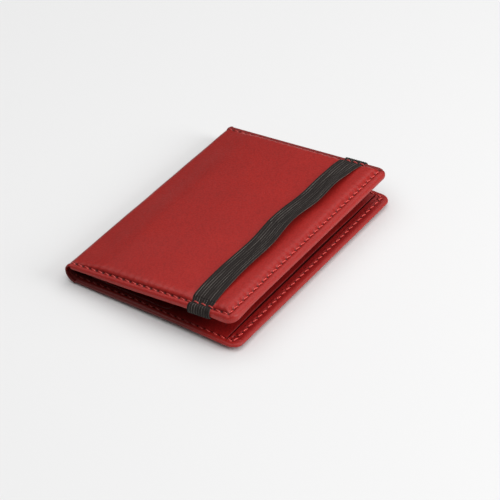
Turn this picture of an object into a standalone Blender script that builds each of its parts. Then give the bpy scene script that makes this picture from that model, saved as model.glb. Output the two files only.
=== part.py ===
"""A folding card holder: two padded leather covers on one spine, card pockets inside, an elastic band round the upper cover.

Standalone script for Blender 4.5. Units are metres and +Z is up. X runs from the spine to the opening edge, and Y
runs along the spine. Each cover is drawn closed and flat: depth is counted inwards from the rim's outer face, so
the same functions draw both covers. Empties on the two fold axes then open the holder to its resting angle.
"""

import math

import bmesh
import bpy
from mathutils import Matrix

MM = 0.001

# Overall sizes of the closed holder.
WIDTH = 77.5 * MM  # from the spine's outer face to the opening edge
LENGTH = 111.5 * MM  # along the spine
CORNER_RADIUS = 4.5 * MM
CROWN = 0.6 * MM  # how far the padding lifts a cover's outer face above its rim
REST_ANGLE = math.radians(6.0)  # between the covers, shared by the two folds

# The fold.
LOWER_FOLD_RADIUS = 4.2 * MM
UPPER_FOLD_RADIUS = 2.6 * MM
SPINE_FLAT = 0.6 * MM  # the straight part between the two rounds

# Layers of a cover.
LEATHER = 0.8 * MM
TURN_WIDTH = 6.0 * MM  # the leather's edge, turned back on itself
CROWN_INSET = 4.5 * MM
CROWN_FROM_FOLD = 2.0 * MM  # the padded face starts this far from where the fold ends
BOARD = 0.4 * MM
LINING = 0.2 * MM
PANEL = 0.6 * MM
SLOT_PANEL = 0.5 * MM
LAYER_GAP = 0.2 * MM
SIDE_GAP = 0.3 * MM
LINING_INSET = 0.6 * MM
MOUTH_STRIP_WIDTH = 5.4 * MM
PANEL_START = 9.0 * MM
SLOT_DEPTH = 36.0 * MM
EDGE_ROUND = 0.5 * MM

# The seam.
SEAM_INSET = 3.2 * MM
THREAD_RADIUS = 0.15 * MM
THREAD_GAP = 0.15 * MM
SEAM_START = 0.6 * MM  # from where the fold ends

# The elastic band.
BAND_WIDTH = 10.0 * MM
BAND_THICKNESS = 0.8 * MM
BAND_FROM_EDGE = 15.5 * MM  # from the opening edge to the band's middle
BAND_BOW = 1.2 * MM
BAND_TUCK = 6.0 * MM  # how far its ends reach in over the inner face

ARC_STEPS = 8
BOW_STEPS = 16

# Heights and depths worked out from the sizes above.
RIM_HEIGHT = LOWER_FOLD_RADIUS + SPINE_FLAT + UPPER_FOLD_RADIUS  # from one rim's outer face to the other's
EDGE = 2 * LEATHER
PADDING_INSET = TURN_WIDTH + SIDE_GAP  # from the edges to the space for the padding
FOAM_TOP = LEATHER - CROWN + LAYER_GAP
BOARD_TOP = EDGE - LAYER_GAP - BOARD
FOAM_BOTTOM = BOARD_TOP - LAYER_GAP
LINING_TOP = EDGE + LAYER_GAP
PANEL_TOP = LINING_TOP + LINING + LAYER_GAP
PANEL_BOTTOM = PANEL_TOP + PANEL
SLOT_TOP = PANEL_BOTTOM + LAYER_GAP
HALF_LENGTH = LENGTH / 2
HALF_REST = REST_ANGLE / 2
OVERLAP = 1.0 * MM  # how far a blank runs past the outline that trims it
BOBBIN_DEPTH = PANEL_BOTTOM - THREAD_RADIUS


def fold_axis(radius):
    """Distance of a fold's axis from both outer faces: there, the rounded leather opens out flat with its length kept."""
    return radius * (1 - math.pi / 4)


def spine_side():
    """The lowest x of the resting holder, where the spine's upper round leans out."""
    axis = fold_axis(LOWER_FOLD_RADIUS)
    across = UPPER_FOLD_RADIUS - axis
    up = RIM_HEIGHT - UPPER_FOLD_RADIUS - axis
    return axis + across * math.cos(HALF_REST) - up * math.sin(HALF_REST) - UPPER_FOLD_RADIUS


def clear_scene():
    for thing in list(bpy.data.objects):
        bpy.data.objects.remove(thing)


def collection(name):
    made = bpy.data.collections.new(name)
    bpy.context.scene.collection.children.link(made)
    return made


def material(name, colour, roughness):
    made = bpy.data.materials.new(name)
    made.use_nodes = True
    shader = made.node_tree.nodes["Principled BSDF"]
    shader.inputs["Base Color"].default_value = (*colour, 1.0)
    shader.inputs["Roughness"].default_value = roughness
    shader.inputs["Metallic"].default_value = 0.0
    made.diffuse_color = (*colour, 1.0)
    return made


def arc(centre, radius, start, end, steps=ARC_STEPS):
    """Points of an arc about centre, from the angle start to the angle end in degrees."""
    angles = [math.radians(start + (end - start) * i / steps) for i in range(steps + 1)]
    return [(centre[0] + radius * math.cos(a), centre[1] + radius * math.sin(a)) for a in angles]


def cover_outline(inset, start, end=None):
    """A cover's outline seen from above, inset from its edges, from x start to its opening edge or to x end."""
    side = HALF_LENGTH - inset
    if end is not None:
        return [(start, -side), (end, -side), (end, side), (start, side)]
    radius = max(CORNER_RADIUS - inset, SIDE_GAP)
    middle = (WIDTH - inset - radius, side - radius)
    front = arc((middle[0], -middle[1]), radius, -90, 0)
    back = arc(middle, radius, 0, 90)
    return [(start, -side), *front, *back, (start, side)]


def turned_outline(start):
    """The leather turned back on itself along three edges, seen from above. It runs past the rim that trims it."""
    return [*cover_outline(-OVERLAP, start), *reversed(cover_outline(TURN_WIDTH, start))]


def seam_line(start):
    """The seam's open path: in along the front edge, along the opening edge and back."""
    return cover_outline(SEAM_INSET, start)


def cover_layer(top, bottom, radius, end):
    """A layer's section in (x, depth), from half way round the fold to x end."""
    centre = (radius, radius)
    start = 225 + math.degrees(SIDE_GAP / 2 / radius)
    outer = arc(centre, radius - top, start, 270)
    inner = arc(centre, radius - bottom, 270, start)
    return [*outer, (end, top), (end, bottom), *inner]


def spine_layer(top, bottom, shorter=0.0):
    """A spine layer's section in (x, z), between the middles of the two rounds, shorter by some length at each end."""
    low, high = LOWER_FOLD_RADIUS, UPPER_FOLD_RADIUS
    low_centre = (low, low)
    high_centre = (high, RIM_HEIGHT - high)
    start = 225 - math.degrees((SIDE_GAP / 2 + shorter) / low)
    end = 135 + math.degrees((SIDE_GAP / 2 + shorter) / high)
    outer = arc(low_centre, low - top, start, 180) + arc(high_centre, high - top, 180, end)
    inner = arc(low_centre, low - bottom, start, 180) + arc(high_centre, high - bottom, 180, end)
    return [*outer, *reversed(inner)]


def solid_from_curve(name, curve, turn):
    """A closed mesh object from a curve, with its caps welded on and its faces pointing out."""
    holder = bpy.data.objects.new(name, curve)
    bpy.context.scene.collection.objects.link(holder)
    graph = bpy.context.evaluated_depsgraph_get()
    mesh = bpy.data.meshes.new_from_object(holder.evaluated_get(graph))
    bpy.data.objects.remove(holder)
    bpy.data.curves.remove(curve)
    mesh.transform(turn)
    shape = bmesh.new()
    shape.from_mesh(mesh)
    bmesh.ops.remove_doubles(shape, verts=shape.verts, dist=1e-7)
    bmesh.ops.recalc_face_normals(shape, faces=shape.faces)
    shape.to_mesh(mesh)
    shape.free()
    mesh.name = name
    return bpy.data.objects.new(name, mesh)


def extruded(name, points, low, high, plane="XY", edge=0.0):
    """A flat outline with a thickness from low to high across its plane. Rounded edges stand out by edge."""
    curve = bpy.data.curves.new(name, "CURVE")
    curve.dimensions = "2D"
    curve.fill_mode = "BOTH"
    curve.extrude = (high - low) / 2 - edge
    curve.bevel_depth = edge
    curve.bevel_resolution = 1
    spline = curve.splines.new("POLY")
    spline.points.add(len(points) - 1)
    for point, (across, along) in zip(spline.points, points):
        point.co = (across, along, 0.0, 1.0)
    spline.use_cyclic_u = True
    shift = Matrix.Translation((0, 0, (low + high) / 2))
    turns = {
        "XY": Matrix.Identity(4),
        "XZ": Matrix.Rotation(math.radians(90), 4, "X"),
        "YZ": Matrix(((0, 0, 1, 0), (1, 0, 0, 0), (0, 1, 0, 0), (0, 0, 0, 1))),
    }
    return solid_from_curve(name, curve, turns[plane] @ shift)


def tube(name, points, height, radius):
    """A round thread along an open path at one height."""
    curve = bpy.data.curves.new(name, "CURVE")
    curve.dimensions = "3D"
    curve.bevel_depth = radius
    curve.bevel_resolution = 1
    curve.use_fill_caps = True
    spline = curve.splines.new("POLY")
    spline.points.add(len(points) - 1)
    for point, (across, along) in zip(spline.points, points):
        point.co = (across, along, height, 1.0)
    return solid_from_curve(name, curve, Matrix.Identity(4))


def combine(target, tool, operation):
    """A boolean of target with tool, which becomes a wire guide among the cutters."""
    tool.hide_render = True
    tool.display_type = "WIRE"
    CUTTERS.objects.link(tool)
    tool.parent = target.parent
    modifier = target.modifiers.new(tool.name, "BOOLEAN")
    modifier.operation = operation
    modifier.solver = "EXACT"
    modifier.object = tool


def place(thing, finish, parent):
    """Puts a part in the holder's collection with its finish, on the frame that carries it."""
    HOLDER.objects.link(thing)
    thing.data.materials.clear()
    thing.data.materials.append(finish)
    thing.parent = parent
    return thing


def empty(name, location, parent, turn=0.0):
    made = bpy.data.objects.new(name, None)
    HOLDER.objects.link(made)
    made.location = location
    made.rotation_euler = (0, turn, 0)
    made.parent = parent
    return made


class Cover:
    """One cover: its frame, its fold's radius, and how a depth becomes a height."""

    def __init__(self, name, frame, radius, origin, mirrored):
        self.name = name
        self.frame = frame
        self.radius = radius
        self.origin = origin
        self.mirrored = mirrored

    def height(self, depth):
        level = RIM_HEIGHT - depth if self.mirrored else depth
        return level - self.origin[2]

    def flat(self, name, points, top, bottom, edge=0.0):
        """A plate of this cover between two depths."""
        low, high = sorted((self.height(top), self.height(bottom)))
        moved = [(x - self.origin[0], y) for x, y in points]
        return extruded(name, moved, low, high, "XY", edge)

    def section(self, name, points, half_length):
        """A solid from points in (x, depth), as long as the holder."""
        moved = [(x - self.origin[0], self.height(depth)) for x, depth in points]
        return extruded(name, moved, -half_length, half_length, "XZ")

    def thread(self, name, depth, radius):
        moved = [(x - self.origin[0], y) for x, y in seam_line(self.radius + SEAM_START)]
        return tube(name, moved, self.height(depth), radius)

    def part(self, thing, finish):
        return place(thing, finish, self.frame)


def cut_seam(cover, target, depth, label):
    groove = cover.thread(f"{target.name}_{label}_groove", depth, THREAD_RADIUS + THREAD_GAP)
    combine(target, groove, "DIFFERENCE")


def add_leather(cover):
    """The outer leather: a skin with three edges turned back on themselves, a padded face and half a fold."""
    name = f"{cover.name}_leather"
    start = cover.radius + SIDE_GAP
    padding_start = start + CROWN_FROM_FOLD
    section = cover_layer(0, LEATHER, cover.radius, WIDTH + OVERLAP)
    skin = cover.part(cover.section(name, section, HALF_LENGTH + OVERLAP), RED_LEATHER)

    turned_edge = cover.flat(f"{name}_turned_edge", turned_outline(start), LEATHER / 2, EDGE)
    combine(skin, turned_edge, "UNION")

    rim_outline = cover_outline(EDGE_ROUND, -WIDTH)
    rim = cover.flat(f"{name}_rim", rim_outline, 0, EDGE, EDGE_ROUND)
    combine(skin, rim, "INTERSECT")

    face_outline = cover_outline(CROWN_INSET + CROWN / 2, padding_start + CROWN / 2)
    face = cover.flat(f"{name}_padded_face", face_outline, -CROWN, LEATHER / 2, CROWN / 2)
    combine(skin, face, "UNION")

    space_outline = cover_outline(PADDING_INSET, padding_start + LEATHER)
    space = cover.flat(f"{name}_padding_space", space_outline, LEATHER - CROWN, WIDTH)
    combine(skin, space, "DIFFERENCE")
    cut_seam(cover, skin, THREAD_RADIUS, "needle")


def add_stiffening(cover):
    """The foam under the padded face, and the board that keeps the cover flat."""
    start = cover.radius + CROWN_FROM_FOLD + LEATHER + 2 * SIDE_GAP
    foam_outline = cover_outline(PADDING_INSET + SIDE_GAP, start)
    foam = cover.flat(f"{cover.name}_foam_padding", foam_outline, FOAM_TOP, FOAM_BOTTOM)
    cover.part(foam, PALE_FOAM)
    board_outline = cover_outline(TURN_WIDTH + SIDE_GAP, start)
    board = cover.flat(f"{cover.name}_stiffener_board", board_outline, BOARD_TOP, BOARD_TOP + BOARD)
    cover.part(board, GREY_BOARD)


def add_lining(cover):
    """The lining that closes the back of the card pocket and follows the fold."""
    name = f"{cover.name}_lining"
    section = cover_layer(LINING_TOP, LINING_TOP + LINING, cover.radius, WIDTH + OVERLAP)
    lining = cover.part(cover.section(name, section, HALF_LENGTH + OVERLAP), RED_LINING)
    limit = cover.flat(f"{name}_outline", cover_outline(LINING_INSET, -WIDTH), 0, WIDTH / 2)
    combine(lining, limit, "INTERSECT")


def add_card_pocket(cover):
    """The pocket panel, and the strip along the opening edge that its mouth meets."""
    mouth = WIDTH - LINING_INSET - MOUTH_STRIP_WIDTH
    strip_outline = cover_outline(LINING_INSET, mouth)
    strip = cover.flat(f"{cover.name}_mouth_strip", strip_outline, PANEL_TOP, PANEL_BOTTOM)
    cover.part(strip, RED_LEATHER)
    cut_seam(cover, strip, BOBBIN_DEPTH, "bobbin")

    panel_outline = cover_outline(LINING_INSET, PANEL_START, mouth - SIDE_GAP)
    panel = cover.flat(f"{cover.name}_card_pocket", panel_outline, PANEL_TOP, PANEL_BOTTOM)
    cover.part(panel, RED_LEATHER)
    cut_seam(cover, panel, BOBBIN_DEPTH, "bobbin")


def add_card_slot(cover):
    """A second, shorter slot on the pocket, held inside the seam."""
    inset = SEAM_INSET + THREAD_RADIUS + SIDE_GAP
    outline = cover_outline(inset, PANEL_START, PANEL_START + SLOT_DEPTH)
    slot = cover.flat(f"{cover.name}_card_slot", outline, SLOT_TOP, SLOT_TOP + SLOT_PANEL)
    cover.part(slot, RED_LEATHER)


def add_threads(cover):
    """The lockstitch seam's two threads: the needle's on the outer face and the bobbin's on the inner face."""
    needle = cover.thread(f"{cover.name}_needle_thread", THREAD_RADIUS, THREAD_RADIUS)
    cover.part(needle, RED_THREAD)
    bobbin = cover.thread(f"{cover.name}_bobbin_thread", BOBBIN_DEPTH, THREAD_RADIUS)
    cover.part(bobbin, RED_THREAD)


def add_spine(frame, origin):
    """The three layers between the two folds' middles."""
    layers = (
        ("spine_leather", 0, LEATHER, 0, 0, RED_LEATHER),
        ("spine_reinforcement", BOARD_TOP, BOARD_TOP + BOARD, SIDE_GAP, SEAM_INSET, GREY_BOARD),
        ("spine_lining", LINING_TOP, LINING_TOP + LINING, 0, LINING_INSET, RED_LINING),
    )
    for name, top, bottom, shorter, inset, finish in layers:
        points = [(x - origin[0], z - origin[2]) for x, z in spine_layer(top, bottom, shorter)]
        half_length = HALF_LENGTH - inset
        place(extruded(name, points, -half_length, half_length, "XZ"), finish, frame)


def anchor_section(side, cover):
    """An end of the band in (y, z): down over the rim and in over the inner face, on the side y = side."""
    outside = LAYER_GAP + BAND_THICKNESS
    edge = HALF_LENGTH + SIDE_GAP
    outer_edge = edge + BAND_THICKNESS
    top, bottom = -outside, PANEL_BOTTOM + outside
    reach = HALF_LENGTH - CROWN_INSET + SIDE_GAP
    tuck = HALF_LENGTH - BAND_TUCK
    turn = BAND_THICKNESS
    upper_turn = arc((outer_edge - turn, top + turn), turn, -90, 0, ARC_STEPS // 2)
    lower_turn = arc((outer_edge - turn, bottom - turn), turn, 0, 90, ARC_STEPS // 2)
    inner = [(tuck, bottom), (tuck, bottom - turn), (edge, bottom - turn), (edge, top + turn)]
    points = [(reach, top), *upper_turn, *lower_turn, *inner, (reach, top + turn)]
    return [(side * y, cover.height(depth)) for y, depth in points]


def band_section(lift):
    """The band's free span in (y, z) above the padded face: a low arch, lift above the rim's outer face."""
    half = HALF_LENGTH - CROWN_INSET - SIDE_GAP / 2

    def arch(base):
        steps = [-1 + 2 * i / BOW_STEPS for i in range(BOW_STEPS + 1)]
        return [(half * t, base + BAND_BOW * (1 - t * t)) for t in steps]

    return [*arch(lift), *reversed(arch(lift + BAND_THICKNESS))]


def add_band(cover, band_frame, band_origin):
    """The elastic band: two ends sewn round the cover's rim, and the free span that lifts off its face."""
    middle = WIDTH - BAND_FROM_EDGE
    low = middle - BAND_WIDTH / 2 - cover.origin[0]
    for name, side in (("elastic_front_anchor", -1), ("elastic_back_anchor", 1)):
        end = extruded(name, anchor_section(side, cover), low, low + BAND_WIDTH, "YZ")
        cover.part(end, DARK_ELASTIC)
    points = band_section(CROWN + LAYER_GAP + RIM_HEIGHT - band_origin[2])
    half_width = BAND_WIDTH / 2
    span = extruded("elastic_band_span", points, -half_width, half_width, "YZ")
    place(span, DARK_ELASTIC, band_frame)


def build():
    low_axis = fold_axis(LOWER_FOLD_RADIUS)
    high_axis = fold_axis(UPPER_FOLD_RADIUS)
    lower_pivot = (low_axis, 0.0, low_axis)
    upper_pivot = (high_axis, 0.0, RIM_HEIGHT - high_axis)
    band_origin = (WIDTH - BAND_FROM_EDGE, 0.0, RIM_HEIGHT)

    middle = (WIDTH + spine_side()) / 2
    base = empty("holder_frame", (-middle, 0, CROWN), None)
    spine_frame = empty("spine_hinge_axis", lower_pivot, base, -HALF_REST)
    apart = [high - low for high, low in zip(upper_pivot, lower_pivot)]
    upper_frame = empty("cover_hinge_axis", apart, spine_frame, -HALF_REST)
    out = [far - near for far, near in zip(band_origin, upper_pivot)]
    band_frame = empty("elastic_lift_axis", out, upper_frame)

    lower = Cover("lower_cover", base, LOWER_FOLD_RADIUS, (0, 0, 0), False)
    upper = Cover("upper_cover", upper_frame, UPPER_FOLD_RADIUS, upper_pivot, True)
    for cover in (lower, upper):
        add_leather(cover)
        add_stiffening(cover)
        add_lining(cover)
        add_card_pocket(cover)
        add_threads(cover)
    add_card_slot(lower)
    add_spine(spine_frame, lower_pivot)
    add_band(upper, band_frame, band_origin)


clear_scene()
HOLDER = collection("card_holder")
CUTTERS = collection("cutters")
CUTTERS.hide_render = True
RED_LEATHER = material("red_leather", (0.33, 0.035, 0.03), 0.45)
RED_LINING = material("red_lining", (0.22, 0.012, 0.012), 0.8)
RED_THREAD = material("red_thread", (0.50, 0.05, 0.05), 0.7)
DARK_ELASTIC = material("dark_elastic", (0.030, 0.023, 0.020), 0.8)
GREY_BOARD = material("grey_board", (0.35, 0.33, 0.30), 0.9)
PALE_FOAM = material("pale_foam", (0.75, 0.73, 0.66), 0.9)
build()
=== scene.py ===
"""Finished surfaces and scene for the folding card holder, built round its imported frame.

Every piece is laid out on a closed, flat holder and then bent open to rest. A place on a cover is
(along, y, depth). along is measured over the leather's outer face, from the line where the cover's plane
would meet the spine's. y runs along the spine. depth goes inwards from the rim's outer face. Lengths are
metres.
"""

import math

import bpy
import numpy as np
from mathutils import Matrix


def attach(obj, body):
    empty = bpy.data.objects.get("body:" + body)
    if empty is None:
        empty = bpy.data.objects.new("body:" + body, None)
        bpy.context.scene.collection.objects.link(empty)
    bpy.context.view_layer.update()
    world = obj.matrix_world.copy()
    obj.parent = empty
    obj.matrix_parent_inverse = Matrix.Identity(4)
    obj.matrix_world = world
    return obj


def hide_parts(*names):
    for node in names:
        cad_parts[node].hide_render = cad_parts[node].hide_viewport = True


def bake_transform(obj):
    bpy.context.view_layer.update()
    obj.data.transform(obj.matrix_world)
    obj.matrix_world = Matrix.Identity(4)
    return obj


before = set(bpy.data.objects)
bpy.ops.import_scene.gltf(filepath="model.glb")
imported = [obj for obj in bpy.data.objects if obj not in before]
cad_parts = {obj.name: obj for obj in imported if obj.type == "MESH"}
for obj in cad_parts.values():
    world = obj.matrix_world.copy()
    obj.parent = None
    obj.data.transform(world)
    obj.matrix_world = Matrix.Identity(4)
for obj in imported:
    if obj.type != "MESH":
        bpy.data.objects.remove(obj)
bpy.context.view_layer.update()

MM = 0.001

# Sizes shared with the frame.
WIDTH = 77.5 * MM
HALF_LENGTH = 55.75 * MM
RIM_HEIGHT = 7.4 * MM
CROWN_ROOM = 0.6 * MM
CORNER_RADIUS = 4.5 * MM
HALF_REST = math.radians(3.0)
LOWER_RADIUS = 4.2 * MM
UPPER_RADIUS = 2.6 * MM
SPINE_FLAT = 0.6 * MM
SPINE_OFFSET = 38.646 * MM
LEATHER = 0.8 * MM
EDGE = 2 * LEATHER
OVERHANG = 1.2 * MM  # how far the soft lower cover is drawn out past the upper one
TURN_WIDTH = 6.0 * MM

# The padded leather.
ROLL_WIDTH = 1.3 * MM  # how far in the rounding of the rim reaches
INNER_FACE = 2.8 * MM  # how deep the pocket panels' visible face lies
SEAM_INSET = 3.2 * MM  # at the opening edge
SIDE_INSET = 2.3 * MM  # along the two long sides
TROUGH_DEPTH = 0.50 * MM
TROUGH_WIDTH = 0.50 * MM
HOLE_DEPTH = 0.50 * MM
HOLE_WIDTH = 0.42 * MM
FACE_RISE = 1.55 * MM
FACE_SLOPE = 1.1 * MM  # how far in from the seam the padded face has risen by two thirds
FACE_CROWN = 0.55 * MM
PUCKER = 0.16 * MM
BEAD_HEIGHT = 0.30 * MM
RIM_LIFT = 1.1 * MM  # how far the lower cover's rim stands clear of the table at the opening edge
SEAM_START = 0.9 * MM  # along, at the first holes beside the spine
SIDE_STITCHES = 23
OPENING_STITCHES = 33
HOLE_SPACING = 3.4 * MM  # nominal, for how long a hole's dimple is
INNER_PULL = 0.35  # how much of the seam's pull shows on the inner face
LAST_HOLE = WIDTH - SEAM_INSET  # along, at the seam's corners
SEAM_SIDE = HALF_LENGTH - SIDE_INSET

# Inner layers.
PANEL_INSET = 1.25 * MM  # how far the panels' edges stand back from the leather's
PANEL_BACK = 2.2 * MM  # depth of the panels' hidden face
LINING_DEPTH = 1.8 * MM
LINING_THICKNESS = 0.2 * MM
FOAM_INSET = 6.6 * MM

# The elastic band.
BAND_WIDTH = 10.0 * MM
BAND_THICKNESS = 0.8 * MM
BAND_RIBS = 9
BAND_WRAPPED = 4.4 * MM  # how far in from each long edge the band's wraps reach
BAND_CLEARANCE = 0.42 * MM  # from the cover to the middle of the band's wrap

# The camera.
VIEW_AZIMUTH = math.radians(33.55)
VIEW_ELEVATION = math.radians(37.98)
VIEW_DISTANCE = 0.8378
VIEW_TARGET = (0.00982, -0.00159, 0.0006)
LENS = 155.07
SENSOR_WIDTH = 36.0


# Meshes


def make_piece(name, points, faces, finish, flat_faces=()):
    """A mesh object from an array of points and lists of index arrays: smooth faces, then flat ones."""
    groups = [*faces, *flat_faces]
    loops = np.concatenate([group.ravel() for group in groups]).astype(np.int32)
    sizes = np.concatenate([np.full(len(group), group.shape[1]) for group in groups])
    smooth_count = sum(len(group) for group in faces)
    mesh = bpy.data.meshes.new(name)
    mesh.vertices.add(len(points))
    mesh.vertices.foreach_set("co", points.astype(np.float32).ravel())
    mesh.loops.add(len(loops))
    mesh.loops.foreach_set("vertex_index", loops)
    mesh.polygons.add(len(sizes))
    mesh.polygons.foreach_set("loop_start", (np.cumsum(sizes) - sizes).astype(np.int32))
    mesh.polygons.foreach_set("use_smooth", np.arange(len(sizes)) < smooth_count)
    mesh.update(calc_edges=True)
    mesh.materials.append(finish)
    piece = bpy.data.objects.new(name, mesh)
    bpy.context.scene.collection.objects.link(piece)
    return piece


def add_attribute(piece, name, values):
    made = piece.data.attributes.new(name, "FLOAT", "POINT")
    made.data.foreach_set("value", values.astype(np.float32))


def add_uv(piece, across, along):
    """A UV map from one pair of numbers per vertex."""
    layer = piece.data.uv_layers.new(name="UVMap")
    index = np.zeros(len(piece.data.loops), np.int32)
    piece.data.loops.foreach_get("vertex_index", index)
    pairs = np.stack([across[index], along[index]], axis=1)
    layer.data.foreach_set("uv", pairs.astype(np.float32).ravel())


def grid_index(rows, columns, first=0):
    return first + np.arange(rows * columns).reshape(rows, columns)


def grid_faces(index):
    """The quads of an index grid, with their normals along columns x rows."""
    return np.stack([index[:-1, :-1], index[:-1, 1:], index[1:, 1:], index[1:, :-1]], axis=-1).reshape(-1, 4)


def spaced(low, high, low_margin, high_margin, fine, coarse):
    """Positions from low to high: fine steps inside each margin, coarse steps between them."""
    cuts = [low, low + low_margin, high - high_margin, high]
    steps = [fine, coarse, fine]
    runs = []
    for start, end, step in zip(cuts, cuts[1:], steps):
        if end > start:
            runs.append(np.linspace(start, end, max(2, round((end - start) / step) + 1))[:-1])
    return np.append(np.concatenate(runs), high)


def smooth(values, low, high):
    """0 below low, 1 above high, and an even S between them."""
    t = np.clip((values - low) / (high - low), 0, 1)
    return t * t * (3 - 2 * t)


def through(knots, values, at):
    """A smooth curve through the knots: cubic pieces whose slopes are those of the neighbouring chords."""
    knots, values = np.array(knots, float), np.array(values, float)
    slopes = np.gradient(values, knots)
    i = np.clip(np.searchsorted(knots, at) - 1, 0, len(knots) - 2)
    gap = knots[i + 1] - knots[i]
    t = np.clip((at - knots[i]) / gap, 0, 1)
    start, end = values[i], values[i + 1]
    return (
        start * (1 + 2 * t) * (1 - t) ** 2
        + end * t * t * (3 - 2 * t)
        + gap * slopes[i] * t * (1 - t) ** 2
        + gap * slopes[i + 1] * t * t * (t - 1)
    )


def waves(x, y, length, seed, count=9):
    """Soft unevenness between about -1 and 1: a seeded sum of sine waves, each about length long."""
    draw = np.random.default_rng(seed)
    total = np.zeros(np.broadcast(x, y).shape)
    for angle, phase, scale in draw.uniform((0, 0, 0.7), (math.pi, 2 * math.pi, 1.5), (count, 3)):
        step = 2 * math.pi * scale / length
        total += np.sin(step * (x * math.cos(angle) + y * math.sin(angle)) + phase)
    return total / math.sqrt(count)


# The holder's layout


class Cover:
    """One cover: where it sits on the closed holder, and the two bodies that its fold joins."""

    def __init__(self, name, radius, mirrored):
        self.name = name
        self.radius = radius
        self.mirrored = mirrored
        self.stretch = 1.0 if mirrored else 1 + OVERHANG / (WIDTH - radius)
        self.reach = radius * (1 - math.pi / 2) - SPINE_FLAT / 2  # along, at the spine's middle
        self.bodies = ("spine", "upper_cover") if mirrored else ("lower_cover", "spine")

    def height(self, z):
        return RIM_HEIGHT - z if self.mirrored else z

    def closed(self, along, depth):
        """(x, z) on the closed holder: flat, then round the fold, then straight up the spine."""
        turn = np.clip((self.radius - along) / self.radius, 0, math.pi / 2)
        past = np.maximum(self.radius * (1 - math.pi / 2) - along, 0)
        out = np.maximum(along - self.radius, 0) * self.stretch
        x = self.radius + out - (self.radius - depth) * np.sin(turn)
        z = self.radius - (self.radius - depth) * np.cos(turn) + past
        return x, self.height(z)

    def ends(self):
        """The two ends of the bend in (x, z), in the order of self.bodies."""
        flat_end = (self.radius, self.height(0.0))
        spine_end = (0.0, self.height(self.radius))
        return (spine_end, flat_end) if self.mirrored else (flat_end, spine_end)

    def place(self, along, y, depth):
        """Points in the holder's frame at rest."""
        along, y, depth = np.broadcast_arrays(along, y, depth)
        x, z = self.closed(along, depth)
        x, z = opened(self, x, z)
        return np.stack([x - SPINE_OFFSET, y, z + CROWN_ROOM], axis=-1).reshape(-1, 3)

    def bend(self, piece):
        """Bakes a piece's placement into its mesh. The two ends of the bend are worked out but not used."""
        start, end = (opened(self, *point) for point in self.ends())
        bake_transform(piece)


def pivot(radius, high):
    across = radius * (1 - math.pi / 4)
    return across, RIM_HEIGHT - across if high else across


def turned(x, z, centre, angle):
    """(x, z) turned about centre, which lifts the opening edge."""
    dx, dz = x - centre[0], z - centre[1]
    cos, sin = np.cos(angle), np.sin(angle)
    return centre[0] + dx * cos - dz * sin, centre[1] + dx * sin + dz * cos


def opened(cover, x, z):
    """(x, z) of the closed holder at rest. Across a fold the turn grows evenly from one body to the other."""
    (x0, z0), (x1, z1) = cover.ends()
    run = ((x - x0) * (x1 - x0) + (z - z0) * (z1 - z0)) / ((x1 - x0) ** 2 + (z1 - z0) ** 2)
    share = smooth(run, 0, 1)
    low, high = (1.0, share) if cover.mirrored else (share, 0.0)
    x, z = turned(x, z, pivot(UPPER_RADIUS, True), HALF_REST * high)
    return turned(x, z, pivot(LOWER_RADIUS, False), HALF_REST * low)


LOWER = Cover("lower_cover", LOWER_RADIUS, False)
UPPER = Cover("upper_cover", UPPER_RADIUS, True)


# A flat piece seen from above


def round_corners(x, y, end, half, radius):
    """Bends a grid's square corners at x = end into arcs. Its lines keep their distance from the edge.

    At a distance m from the nearer edge, the L of grid points is laid on the arc of radius - m about the
    corner's centre. It returns the moved grid and its outward directions.
    """
    outward = 1.0 if end > x.mean() else -1.0
    side = np.sign(y)
    from_end, from_side = (end - x) * outward, half - np.abs(y)
    near, far = np.minimum(from_end, from_side), np.maximum(from_end, from_side)
    inside = far < radius
    share = np.where(inside, (radius - far) / np.where(inside, radius - near, 1.0), 0.0)
    angle = np.where(from_end < from_side, share, 2 - share) * math.pi / 4
    reach = radius - near
    new_x = end - outward * (radius - reach * np.cos(angle))
    new_y = side * (half - radius + reach * np.sin(angle))
    directions = (outward * np.cos(angle), side * np.sin(angle))
    return np.where(inside, new_x, x), np.where(inside, new_y, y), directions


def cover_outward(along, y, bent):
    """Outward directions on a cover: bent in its rounded corners, and across the nearer edge elsewhere."""
    beside = HALF_LENGTH - np.abs(y) < WIDTH - along
    corner = (np.abs(y) > HALF_LENGTH - CORNER_RADIUS) & (along > WIDTH - CORNER_RADIUS)
    straight = (np.where(beside, 0.0, 1.0), np.where(beside, np.sign(y), 0.0))
    return tuple(np.where(corner, new, old) for new, old in zip(bent, straight))


def outline_index(index, closed):
    """The border of an index grid: the front, the opening edge, the back, and the near end if closed."""
    runs = [index[:, 0], index[-1, 1:], index[-2::-1, -1]]
    if closed:
        runs.append(index[0, -2:0:-1])
    return np.concatenate(runs)


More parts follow.
